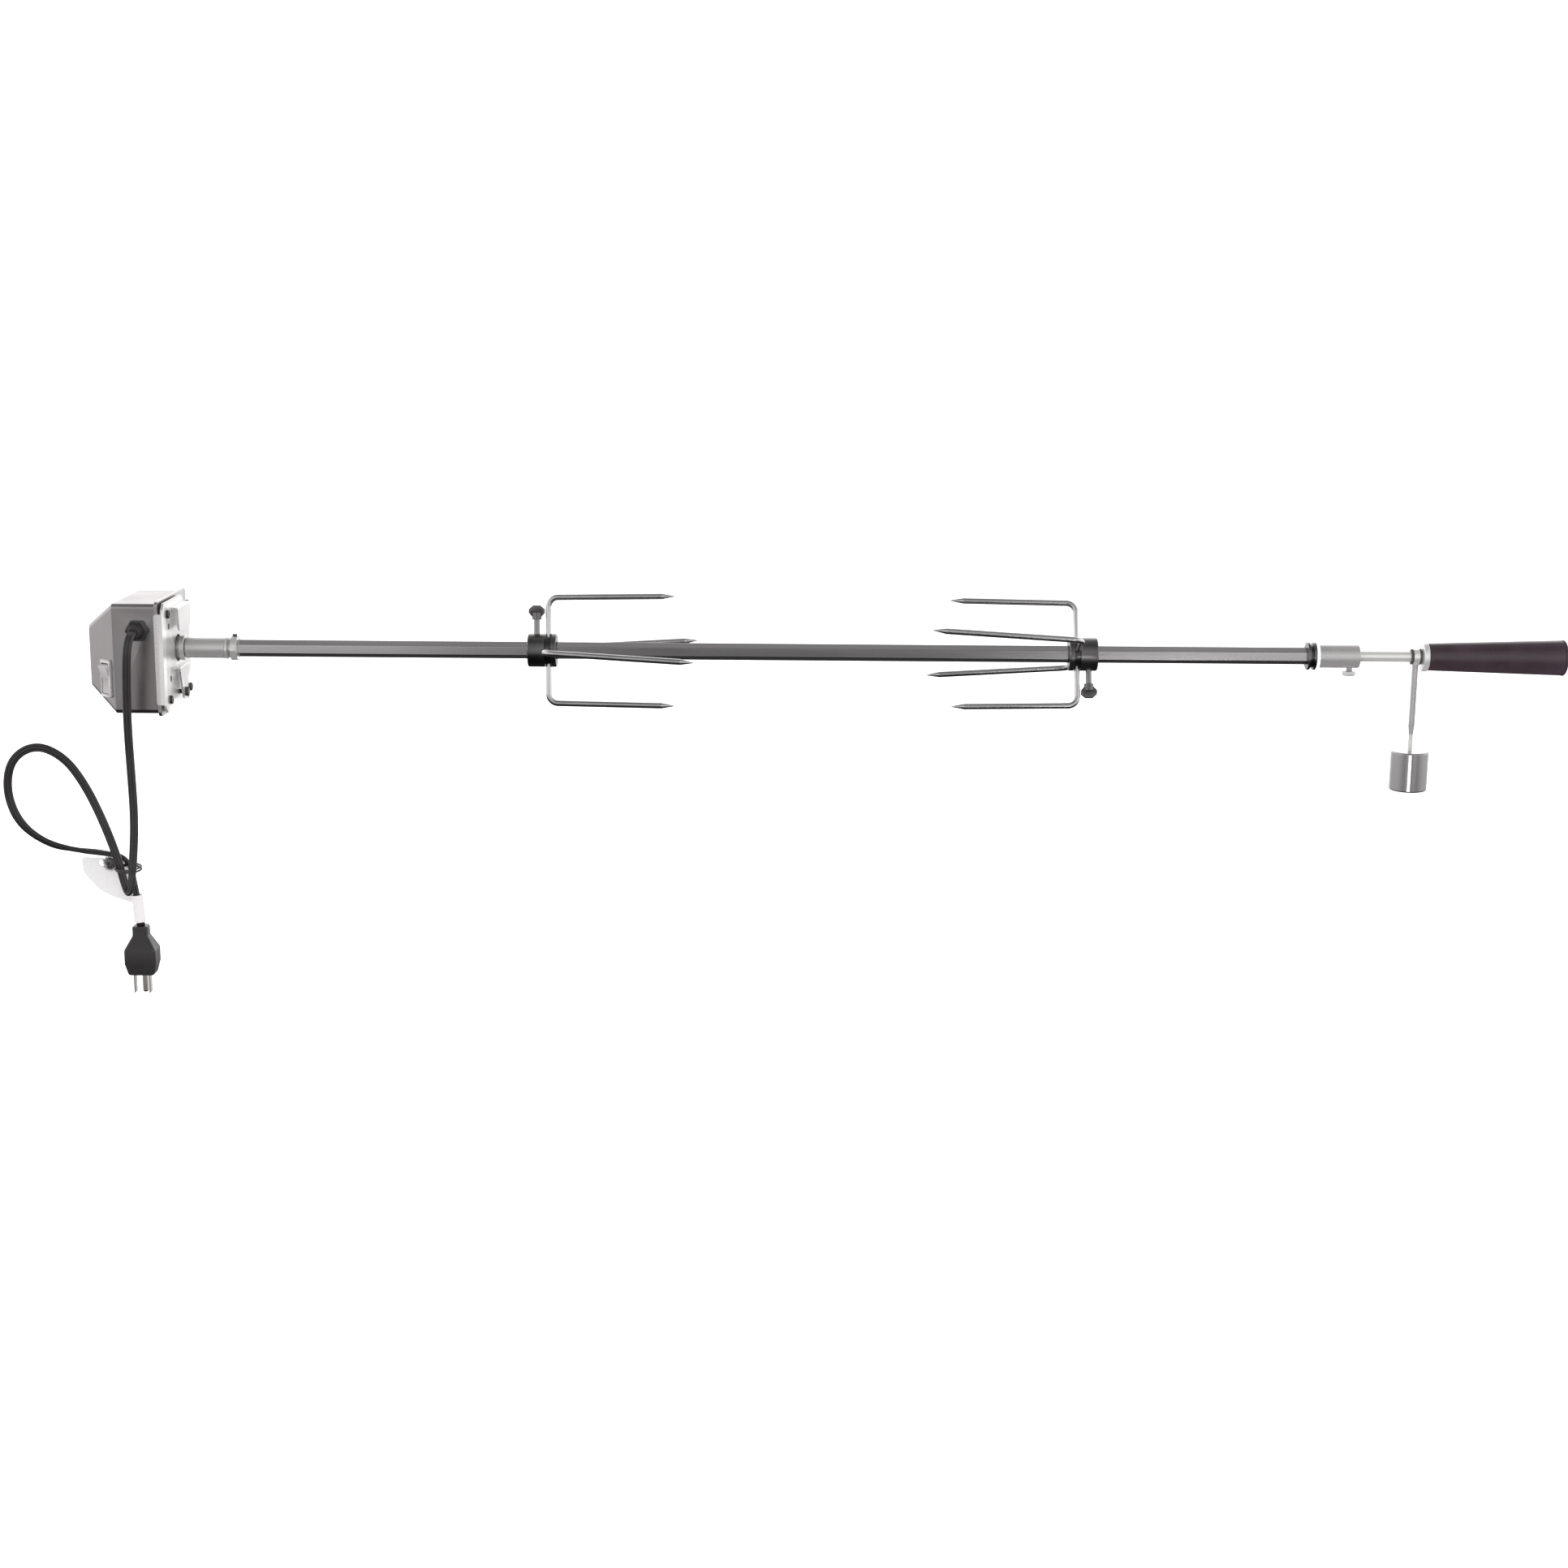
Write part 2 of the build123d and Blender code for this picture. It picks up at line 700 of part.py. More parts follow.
def drive_sleeve():
    sleeve = disc(sleeve_x, sleeve_length, sleeve_radius)
    sleeve = chamfer(sleeve.edges(), 0.5)
    return sleeve - hexagon(sleeve_x, sleeve_length, rod_flats)


def motor_end_bushing():
    x = bushing_x
    steps = [(bushing_flange, bushing_flange_radius), (bushing_groove, bushing_groove_radius)]
    steps += [(bushing_ring, bushing_ring_radius)]
    body = None
    for length, radius in steps:
        piece = disc(x, length, radius)
        body = piece if body is None else body + piece
        x += length
    body = body - hexagon(bushing_x, x - bushing_x, rod_flats)
    grub_x = x - bushing_ring / 2
    hole = Pos(grub_x, 0, rod_flats) * Cylinder(grub_radius, rod_flats)
    return body - hole


def bushing_grub_screw():
    x = bushing_x + bushing_flange + bushing_groove + bushing_ring / 2
    base = rod_corner_radius + 0.05
    return Pos(x, 0, base + grub_length / 2) * Cylinder(grub_radius, grub_length)


def handle_end_bushing():
    x = end_bushing_x
    body = disc(x, end_bushing_rim, end_bushing_radius)
    body += disc(x + end_bushing_rim, end_bushing_groove, end_bushing_neck_radius)
    body += disc(x + end_bushing_rim + end_bushing_groove, end_bushing_rim, end_bushing_radius)
    return body - hexagon(x, 2 * end_bushing_rim + end_bushing_groove, rod_flats)


def bearing_washer():
    washer = disc(washer_x, washer_thickness, end_bushing_radius)
    return washer - hexagon(washer_x, washer_thickness, rod_flats)


def handle_collar():
    collar = chamfer(disc(collar_x, collar_length, collar_radius).edges(), 0.6)
    collar -= hexagon(collar_x, rod_in_collar, rod_flats)
    collar -= disc(rod_end, collar_end - rod_end, shank_radius)
    hole = Cylinder(set_screw_radius + running_gap, 2 * collar_radius)
    hole = Pos(set_screw_x, 0, -collar_radius) * hole
    hole &= block((collar_x, -20, -20), (collar_end, 20, -shank_radius + 1))
    return collar - hole


def handle_set_screw():
    head_top = -set_screw_reach + set_screw_head
    head = extrude(Pos(0, 0, -set_screw_reach) * RegularPolygon(set_screw_flats / 2, 6, major_radius=False),
                   set_screw_head)
    head = chamfer(head.edges().group_by(Axis.Z)[0], 0.6)
    stem_length = -shank_radius - part_gap - head_top
    stem = Pos(0, 0, head_top + stem_length / 2) * Cylinder(set_screw_radius, stem_length)
    return Pos(set_screw_x, 0, 0) * (head + stem)


def handle_shank():
    start = rod_end + part_gap
    return disc(start, handle_x + shank_in_handle - start, shank_radius)


def arm_nuts():
    nuts = []
    for x in (arm_x - arm_nut_width, arm_x + arm_width):
        nut = hexagon(x, arm_nut_width, arm_nut_flats) - disc(x, arm_nut_width, shank_radius)
        nuts.append(nut)
    return Compound(children=nuts)


def counterweight_arm():
    middle = arm_x + arm_width / 2
    thin = arm_width - 2 * part_gap
    eye = disc(arm_x + part_gap, thin, arm_eye_radius)
    bar_radius = arm_width / 2
    top = Plane(origin=(middle, 0, -arm_eye_radius + 1.5), z_dir=(0, 0, -1))
    bar = extrude(top * Circle(bar_radius), arm_swage_drop - arm_eye_radius + 1.5)
    swage = loft([
        Plane(origin=(middle, 0, -arm_swage_drop), z_dir=(0, 0, -1)) * Circle(bar_radius).faces()[0],
        Plane(origin=(middle, 0, -arm_stud_drop), z_dir=(0, 0, -1)) * Circle(arm_stud_radius).faces()[0],
    ])
    length = weight_drop + weight_thread_depth - arm_stud_drop
    stud_top = Plane(origin=(middle, 0, -arm_stud_drop), z_dir=(0, 0, -1))
    stud = extrude(stud_top * Circle(arm_stud_radius), length)
    return eye + bar + swage + stud - disc(arm_x - 1, arm_width + 2, shank_radius + running_gap)


def counterweight():
    middle = arm_x + arm_width / 2
    body = Cylinder(weight_radius, weight_height)
    body = chamfer(body.edges(), 0.8)
    hole = Pos(0, 0, weight_height / 2 - weight_thread_depth / 2)
    body -= hole * Cylinder(arm_stud_radius, weight_thread_depth)
    return Pos(middle, 0, -weight_drop - weight_height / 2) * body


def handle_ferrule():
    ferrule = chamfer(disc(ferrule_x, ferrule_length, ferrule_radius).edges(), 0.6)
    return ferrule - disc(ferrule_x, ferrule_length, shank_radius)


def handle_grip():
    profile = [(handle_x, 0), (handle_x, handle_near_radius - 0.8), (handle_x + 0.8, handle_near_radius)]
    profile += [(handle_end, handle_far_radius), (handle_end, 0)]
    return turned(profile) - disc(handle_x, shank_in_handle, shank_radius)


def handle_cap():
    cap = disc(handle_end, cap_thickness, cap_lip_radius)
    return fillet(cap.edges().group_by(Axis.X)[-1], 1.2)


# ---- forks, drawn with the tines along +X and the thumbscrew up -------------------------------
def fork_hub():
    hub = disc(0, hub_length, hub_radius)
    hub = chamfer(hub.edges(), 0.6)
    groove = disc(hub_wide_band, hub_groove, hub_radius + 1)
    hub -= groove - disc(hub_wide_band, hub_groove, hub_groove_radius)
    hub -= disc(0, hub_length, rod_corner_radius + sliding_gap)
    hub -= Pos(thumb_x, 0, hub_radius) * Cylinder(thumb_radius + running_gap, 2 * hub_radius)
    tine_x = hub_wide_band + hub_groove / 2
    for turn in range(4):
        length = hub_radius - hub_socket_radius
        hole = Pos(tine_x, 0, hub_socket_radius + length / 2) * Cylinder(tine_radius, length)
        hub -= Rot(turn * 90, 0, 0) * hole
    return hub


def tine(reach, splay):
    """One tine: out of the hub along +Z, bent round to about +X, with a ground point."""
    tine_x = hub_wide_band + hub_groove / 2
    tilt = radians(splay)
    flare = radians(tine_flare)
    along = Vector(cos(flare) * cos(tilt), cos(flare) * sin(tilt), sin(flare))
    corner = Vector(tine_x, 0, tine_offset)
    end = corner + along * (reach - tine_point)
    path = FilletPolyline((tine_x, 0, hub_socket_radius), corner, end, radius=tine_bend)
    section = Plane(origin=(tine_x, 0, hub_socket_radius)) * Circle(tine_radius)
    wire = sweep(section, path=path)
    cone = Pos(0, 0, tine_point / 2) * Cone(tine_radius, tine_point_radius, tine_point)
    return wire + Plane(origin=end, z_dir=along) * cone


def tine_pair(reach, splay, first_turn):
    pair = [Rot(first_turn + turn, 0, 0) * tine(reach, splay) for turn in (0, 180)]
    return Compound(children=pair)


def thumbscrew_stem():
    start = rod_corner_radius + part_gap
    length = thumb_top - thumb_in_boss - start
    return Pos(thumb_x, 0, start + length / 2) * Cylinder(thumb_radius, length)


def thumbscrew_wing():
    height = thumb_top - thumb_boss_base
    boss = Pos(0, 0, thumb_boss_base + height / 2) * Cylinder(thumb_boss_radius, height)
    half = wing_span / 2
    outline = [(-wing_foot / 2, wing_base), (wing_foot / 2, wing_base), (half, wing_shoulder)]
    outline += [(half, wing_top - 2 * wing_corner), (wing_foot / 2, wing_top)]
    outline += [(-wing_foot / 2, wing_top), (-half, wing_top - 2 * wing_corner), (-half, wing_shoulder)]
    wing = extrude(Plane.XZ * make_face(Polyline(*outline, close=True)), wing_thickness / 2, both=True)
    wing = fillet(wing.edges().filter_by(Axis.Y), wing_corner)
    depth = thumb_top - thumb_in_boss + part_gap - thumb_boss_base
    bore = Pos(0, 0, thumb_boss_base + depth / 2) * Cylinder(thumb_radius + running_gap, depth)
    return Pos(thumb_x, 0, 0) * (boss + wing - bore)


def place_left(piece):
    return Pos(left_fork_x, 0, 0) * Rot(left_fork_spin, 0, 0) * piece


def place_right(piece):
    return Pos(right_fork_x, 0, 0) * Rot(right_fork_spin, 0, 0) * Rot(0, 0, 180) * piece


# ---- cord -------------------------------------------------------------------------------------
def corner_radii(route):
    """Largest arc that the two runs at each inner point allow."""
    radii = []
    for before, corner, after in zip(route, route[1:], route[2:]):
        arriving = Vector(*corner) - Vector(*before)
        leaving = Vector(*after) - Vector(*corner)
        half_turn = radians(arriving.get_angle(leaving)) / 2
        radii.append(0.45 * min(arriving.length, leaving.length) / tan(half_turn))
    return radii


def power_cord():
    radii = corner_radii(cord_route)
    path = FilletPolyline(*cord_route, radius=radii)
    start = Plane(origin=path @ 0, z_dir=path % 0)
    tube = sweep(start * Circle(cord_diameter / 2), path=path)
    print("cord radii", [round(r, 1) for r in radii])
    section = pi * cord_diameter**2 / 4
    print("cord length", round(path.length, 1), "volume over section", round(tube.volume / section, 1))
    return tube


def cord_tie():
    inside_x = tie_width_x - 2 * tie_thickness
    outer = RectangleRounded(tie_width_x, tie_width_y, tie_corner)
    inside_y = tie_width_y - 2 * tie_thickness
    inner = RectangleRounded(inside_x, inside_y, tie_corner - tie_thickness)
    ring = extrude(outer - inner, tie_height)
    return Pos(tie_centre[0], tie_centre[1], tie_z - tie_height / 2) * ring


def along_last_run(z):
    start = Vector(*cord_route[-2])
    end = Vector(*cord_route[-1])
    return start + (end - start) * ((z - start.Z) / (end.Z - start.Z))


def cord_wrap():
    top = along_last_run(wrap_top)
    bottom = along_last_run(wrap_bottom)
    length = (bottom - top).length
    sleeve = Cylinder(wrap_radius, length) - Cylinder(cord_diameter / 2 + wrap_gap, length)
    return Plane(origin=(top + bottom) * 0.5, z_dir=bottom - top) * sleeve


def plug_section(drop, width, depth):
    place = Plane(origin=(cord_end[0], cord_end[1], cord_end[2] - drop), z_dir=(0, 0, -1))
    return place * RectangleRounded(width, depth, plug_corner).faces()[0]


def plug_body():
    neck = extrude(plug_section(0, plug_neck, plug_neck), plug_neck_length)
    upper = loft([plug_section(plug_neck_length, plug_neck, plug_neck),
                  plug_section(plug_shoulder, plug_width, plug_depth)])
    middle = extrude(plug_section(plug_shoulder, plug_width, plug_depth), plug_waist - plug_shoulder)
    face_width = plug_width - plug_face_inset[0]
    face_depth = plug_depth - plug_face_inset[1]
    lower = loft([plug_section(plug_waist, plug_width, plug_depth),
                  plug_section(plug_length, face_width, face_depth)])
    return neck + upper + middle + lower


def plug_pins():
    x, y, z = cord_end
    base = z - plug_length
    pins = []
    for side in (-1, 1):
        middle = x + side * blade_spacing / 2
        low = (middle - blade_thickness / 2, y + blade_y - blade_width / 2, base - blade_length)
        high = (middle + blade_thickness / 2, y + blade_y + blade_width / 2, base)
        pins.append(chamfer(block(low, high).edges().group_by(Axis.Z)[0], 0.4))
    length = blade_length + ground_longer
    pin = Cylinder(ground_radius, length)
    pin = fillet(pin.edges().group_by(Axis.Z)[0], ground_tip)
    pins.append(Pos(x, y + ground_y, base - length / 2) * pin)
    return Compound(children=pins)


def hang_tag():
    corners = [(-79.0, -172.5), (-77.5, -186.0), (-66.0, -200.0), (-56.0, -206.0), (-36.0, -213.0)]
    corners += [(-37.5, -174.5)]
    place = Plane(origin=(0, tag_y, 0), x_dir=(1, 0, 0), z_dir=(0, -1, 0))
    card = extrude(place * make_face(Polyline(*corners, close=True)), tag_thickness / 2, both=True)
    card = fillet(card.edges().filter_by(Axis.Y), tag_corner)
    slot = Pos(chain_centre[0], tag_y, chain_centre[1]) * Rot(90, 0, 0)
    slot = slot * extrude(SlotOverall(tag_slot, tag_slot_width), 2 * tag_thickness, both=True)
    return card - slot


def tag_chain():
    ring = Rot(90 + chain_tilt, 0, 0) * Torus(chain_radius, chain_wire)
    return Pos(chain_centre[0], tag_y, chain_centre[1]) * ring


def clamp_screw():
    tongue_front = tongue_reach + tab_thickness
    centre = Vector(0, clamp_z)
    head = hexagon(tongue_front, clamp_head, clamp_head_flats, centre)
    head = chamfer(head.edges().group_by(Axis.X)[-1], 0.5)
    start = bracket_back - clamp_point
    return head + disc(start, tongue_front + clamp_head / 2 - start, clamp_radius - running_gap, centre)


pieces = {
    "motor_housing": motor_housing(),
    "face_plate": face_plate(),
    "mounting_bracket": mounting_bracket(),
    "bracket_spacers": bracket_spacers(),
    "bracket_screws": bracket_screws(),
    "clamp_screw": clamp_screw(),
    "switch_frame": switch_frame(),
    "switch_rocker": switch_rocker(),
    "cord_bushing": cord_bushing(),
    "plate_posts": plate_posts(),
    "gear_plate": gear_plate(),
    "gear_arbors": gear_arbors(),
    "output_bush": output_bush(),
    "output_gear": output_gear(),
    "drive_socket": drive_socket(),
    "third_gear": third_gear(),
    "second_gear": second_gear(),
    "rotor_shaft": rotor_shaft(),
    "rotor_magnet": rotor_magnet(),
    "motor_can": motor_can(),
    "motor_coil": motor_coil(),
    "terminal_block": terminal_block(),
    "spit_rod": spit_rod(),
    "drive_sleeve": drive_sleeve(),
    "motor_end_bushing": motor_end_bushing(),
    "bushing_grub_screw": bushing_grub_screw(),
    "handle_end_bushing": handle_end_bushing(),
    "bearing_washer": bearing_washer(),
    "handle_collar": handle_collar(),
    "handle_set_screw": handle_set_screw(),
    "handle_shank": handle_shank(),
    "arm_nuts": arm_nuts(),
    "counterweight_arm": counterweight_arm(),
    "counterweight": counterweight(),
    "handle_ferrule": handle_ferrule(),
    "handle_grip": handle_grip(),
    "handle_cap": handle_cap(),
    "power_cord": power_cord(),
    "cord_tie": cord_tie(),
    "cord_wrap": cord_wrap(),
    "plug_body": plug_body(),
    "plug_pins": plug_pins(),
    "hang_tag": hang_tag(),
    "tag_chain": tag_chain(),
}

fork_pieces = {
    "fork_hub": fork_hub(),
    "fork_short_tines": tine_pair(short_tine_reach, 0, 0),
    "fork_long_tines": tine_pair(long_tine_reach, long_tine_splay, 90),
    "thumbscrew_stem": thumbscrew_stem(),
    "thumbscrew_wing": thumbscrew_wing(),
}
for name, piece in fork_pieces.items():
    pieces["left_" + name] = place_left(piece)
    pieces["right_" + name] = place_right(piece)

os.makedirs("parts", exist_ok=True)
for name, piece in pieces.items():
    export_step(piece, "parts/" + name + ".step")
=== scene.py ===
"""Looks of the grill rotisserie kit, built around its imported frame. Units are metres."""

import json
from math import cos, pi, radians, sin, tau

import bmesh
import bpy
from mathutils import Matrix, Vector


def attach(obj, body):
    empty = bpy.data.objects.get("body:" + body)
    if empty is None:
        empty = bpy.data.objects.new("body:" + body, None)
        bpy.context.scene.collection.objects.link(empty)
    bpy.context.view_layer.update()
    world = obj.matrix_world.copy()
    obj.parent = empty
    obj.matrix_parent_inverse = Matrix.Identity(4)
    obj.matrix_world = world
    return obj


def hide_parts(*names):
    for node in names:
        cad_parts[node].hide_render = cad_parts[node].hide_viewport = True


MM = 0.001
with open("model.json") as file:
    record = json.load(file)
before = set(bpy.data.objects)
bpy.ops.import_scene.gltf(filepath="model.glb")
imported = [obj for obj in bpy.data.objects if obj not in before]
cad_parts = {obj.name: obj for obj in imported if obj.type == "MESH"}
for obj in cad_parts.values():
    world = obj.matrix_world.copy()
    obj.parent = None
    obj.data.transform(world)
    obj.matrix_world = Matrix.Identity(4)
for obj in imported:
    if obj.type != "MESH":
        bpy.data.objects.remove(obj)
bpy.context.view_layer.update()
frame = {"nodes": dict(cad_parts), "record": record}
body_of_node = {
    node: body for body, nodes in frame["record"]["behaviour"]["bodies"].items() for node in nodes
}
slot_of_node = {row["node"]: row["material_slot"] for row in frame["record"]["subparts"]}


def mm(*values):
    return Vector([value * MM for value in values])


# ---- camera -----------------------------------------------------------------------------------
CAMERA_PLACE = mm(514.3, -2008.5, 312.6)
CAMERA_DROP = radians(12.0)
CAMERA_ROLL = radians(0.43)
SENSOR = 36.0
LENS = 54.97


def make_camera():
    data = bpy.data.cameras.new("view")
    data.sensor_width = SENSOR
    data.lens = LENS
    data.clip_end = 60
    camera = bpy.data.objects.new("view", data)
    bpy.context.scene.collection.objects.link(camera)
    tilt = Matrix.Rotation(pi / 2 - CAMERA_DROP, 4, "X")
    roll = Matrix.Rotation(CAMERA_ROLL, 4, "Z")
    camera.matrix_world = Matrix.Translation(CAMERA_PLACE) @ tilt @ roll
    bpy.context.scene.camera = camera


# ---- materials --------------------------------------------------------------------------------
def set_tones(node, table):
    """Fills a colour ramp from a table of (share, grey)."""
    elements = node.color_ramp.elements
    while len(elements) < len(table):
        elements.new(0.5)
    for element, (position, value) in zip(elements, table):
        element.position = position
        element.color = (value, value, value, 1)


class Shader:
    """A principled material with short calls for the nodes that vary it."""

    def __init__(self, name, metallic=0.0, **sockets):
        self.material = bpy.data.materials.new(name)
        self.material.use_nodes = True
        self.nodes = self.material.node_tree.nodes
        self.links = self.material.node_tree.links
        self.surface = self.nodes["Principled BSDF"]
        self.surface.inputs["Metallic"].default_value = metallic
        for socket, value in sockets.items():
            self.surface.inputs[socket.replace("_", " ")].default_value = value
        self.place = self.nodes.new("ShaderNodeTexCoord").outputs["Object"]

    def stretched(self, scale):
        node = self.nodes.new("ShaderNodeMapping")
        node.inputs["Scale"].default_value = scale
        self.links.new(self.place, node.inputs["Vector"])
        return node.outputs["Vector"]

    def noise(self, scale, detail=3.0, stretch=(1, 1, 1), rough=0.55):
        node = self.nodes.new("ShaderNodeTexNoise")
        node.inputs["Scale"].default_value = scale
        node.inputs["Detail"].default_value = detail
        node.inputs["Roughness"].default_value = rough
        self.links.new(self.stretched(stretch), node.inputs["Vector"])
        return node.outputs["Fac"]

    def wave(self, scale, axis, distortion=0.0):
        node = self.nodes.new("ShaderNodeTexWave")
        node.bands_direction = axis
        node.inputs["Scale"].default_value = scale
        node.inputs["Distortion"].default_value = distortion
        self.links.new(self.place, node.inputs["Vector"])
        return node.outputs["Fac"]

    def edge(self, low=0.505, high=0.56):
        """One on convex edges, zero on flats."""
        geometry = self.nodes.new("ShaderNodeNewGeometry")
        return self.ramp(geometry.outputs["Pointiness"], low, high, 0.0, 1.0)

    def ramp(self, source, low, high, start, end):
        node = self.nodes.new("ShaderNodeMapRange")
        sockets = ("From Min", "From Max", "To Min", "To Max")
        for socket, value in zip(sockets, (low, high, start, end)):
            node.inputs[socket].default_value = value
        self.links.new(source, node.inputs["Value"])
        return node.outputs["Result"]

    def maths(self, operation, first, second):
        node = self.nodes.new("ShaderNodeMath")
        node.operation = operation
        for socket, value in zip(node.inputs, (first, second)):
            if isinstance(value, float):
                socket.default_value = value
            else:
                self.links.new(value, socket)
        return node.outputs["Value"]

    def mixed(self, factor, first, second):
        node = self.nodes.new("ShaderNodeMix")
        node.data_type = "RGBA"
        self.links.new(factor, node.inputs["Factor"])
        for socket, value in zip((node.inputs[6], node.inputs[7]), (first, second)):
            if isinstance(value, tuple):
                socket.default_value = (*value, 1.0)
            else:
                self.links.new(value, socket)
        return node.outputs[2]

    def along(self, low, high, table):
        """A tone that changes along X, the spit's own line, from low to high in metres."""
        parts = self.nodes.new("ShaderNodeSeparateXYZ")
        self.links.new(self.place, parts.inputs["Vector"])
        share = self.ramp(parts.outputs["X"], low, high, 0.0, 1.0)
        tones = self.nodes.new("ShaderNodeValToRGB")
        self.links.new(share, tones.inputs["Fac"])
        set_tones(tones, table)
        return tones.outputs["Color"]

    def colour(self, source):
        self.links.new(source, self.surface.inputs["Base Color"])

    def roughness(self, source):
        self.links.new(source, self.surface.inputs["Roughness"])

    def bump(self, height, strength, distance=0.0002):
        node = self.nodes.new("ShaderNodeBump")
        node.inputs["Strength"].default_value = strength
        node.inputs["Distance"].default_value = distance
        self.links.new(height, node.inputs["Height"])
        self.links.new(node.outputs["Normal"], self.surface.inputs["Normal"])


def metal(name, light, dark, smooth, rough, grain, grain_scale=900.0, lift=0.06,
          worn=(0.8, 0.79, 0.78), metallic=1.0, painted_sheen=None):
    """Bare metal: drawn or brushed grain, cloudy tarnish, brighter rubbed edges.

    smooth and rough are the ends of its roughness. The last argument names a stretch along the spit
    painted near white, a painted sheen.
    """
    shader = Shader(name, metallic=metallic)
    lines = shader.noise(grain_scale, 4.0, grain, 0.6)
    clouds = shader.noise(26.0, 5.0)
    tone = shader.maths("ADD", shader.ramp(lines, 0.3, 0.7, 0.0, 0.5),
                        shader.ramp(clouds, 0.3, 0.7, 0.0, 0.5))
    base = shader.mixed(tone, dark, light)
    # paints a near-white sheen over a stretch along the spit
    if painted_sheen:
        base = shader.mixed(shader.along(*painted_sheen), base, SHEEN_WHITE)
    shader.colour(shader.mixed(shader.edge(), base, worn))
    mottled = shader.ramp(clouds, 0.3, 0.75, smooth, rough)
    fine = shader.ramp(lines, 0.3, 0.7, -0.03, 0.03)
    shader.roughness(shader.maths("ADD", mottled, fine))
    shader.bump(lines, lift, 0.00002)
    return shader.material


def drawn_bar(name):
    """The spit's bar: long drawn lines, and a painted reflection that is darker in the middle and
    paler near both ends.
    """
    shader = Shader(name, metallic=1.0)
    lines = shader.noise(900.0, 4.0, ALONG_SPIT, 0.6)
    wide = shader.noise(120.0, 3.0, (0.04, 1, 1), 0.5)
    smears = shader.noise(9.0, 4.0, (0.5, 1, 1))
    share = shader.maths("ADD", shader.ramp(wide, 0.3, 0.7, -0.015, 0.015),
                         shader.ramp(smears, 0.3, 0.7, 0.27, 0.33))
    # the bar's grey along its length is a painted reflection, paler near both ends and darker in
    # the middle
    tone = shader.along(0.0, 1.0, BAR_REFLECTION_TONES)
    # worn holds that painted reflection, with the smears laid over it
    worn = shader.mixed(share, tone, (0.50, 0.47, 0.485))
    shader.colour(shader.mixed(shader.edge(), worn, (0.62, 0.60, 0.60)))
    shader.roughness(shader.ramp(lines, 0.3, 0.7, 0.15, 0.22))
    shader.bump(lines, 0.05, 0.00002)
    return shader.material


def plastic(name, light, dark, smooth, rough, grain_scale=2600.0, lift=0.12, coat=0.0,
            scuffed=0.5):
    """Moulded plastic: fine spark-eroded grain, scuffed lighter edges."""
    shader = Shader(name, Coat_Weight=coat, Coat_Roughness=0.12)
    grain = shader.noise(grain_scale, 2.0)
    clouds = shader.noise(45.0, 5.0)
    base = shader.mixed(shader.ramp(clouds, 0.35, 0.7, 0.0, 1.0), dark, light)
    scuff = tuple(min(1.0, channel * 2.2 + 0.02) for channel in light)
    shader.colour(shader.mixed(shader.maths("MULTIPLY", shader.edge(), scuffed), base, scuff))
    shader.roughness(shader.ramp(clouds, 0.3, 0.75, smooth, rough))
    shader.bump(grain, lift, 0.00008)
    return shader.material


def card(name, light, dark):
    """Plain uncoated card: fibre flecks, soft creases."""
    shader = Shader(name, Specular_IOR_Level=0.25)
    fibres = shader.noise(1400.0, 5.0, (1, 1, 2.5))
    creases = shader.noise(60.0, 3.0)
    shader.colour(shader.mixed(shader.ramp(fibres, 0.35, 0.7, 0.0, 1.0), dark, light))
    shader.roughness(shader.ramp(creases, 0.3, 0.7, 0.55, 0.8))
    shader.bump(fibres, 0.2, 0.00006)
    return shader.material


def windings(name, light, dark):
    """Enamelled wire laid turn beside turn."""
    shader = Shader(name, metallic=0.6, Roughness=0.4)
    turns = shader.wave(420.0, "X", 0.6)
    shader.colour(shader.mixed(turns, dark, light))
    shader.bump(turns, 0.6, 0.0002)
    return shader.material


ALONG_SPIT = (0.02, 1, 1)
UPWARD = (1, 1, 0.03)
ALL_WAYS = (1, 1, 1)
# grey of the bar from the motor face to 1 m along it, a painted reflection: paler near both ends,
# darker in the middle
BAR_REFLECTION_TONES = [(0.0, 0.56), (0.18, 0.56), (0.25, 0.30), (0.40, 0.22), (0.63, 0.22), (0.78, 0.42),
             (0.85, 0.66), (1.0, 0.66)]
# near white, painted on as the sheen of the shank and ferrule
SHEEN_WHITE = (0.93, 0.92, 0.925)
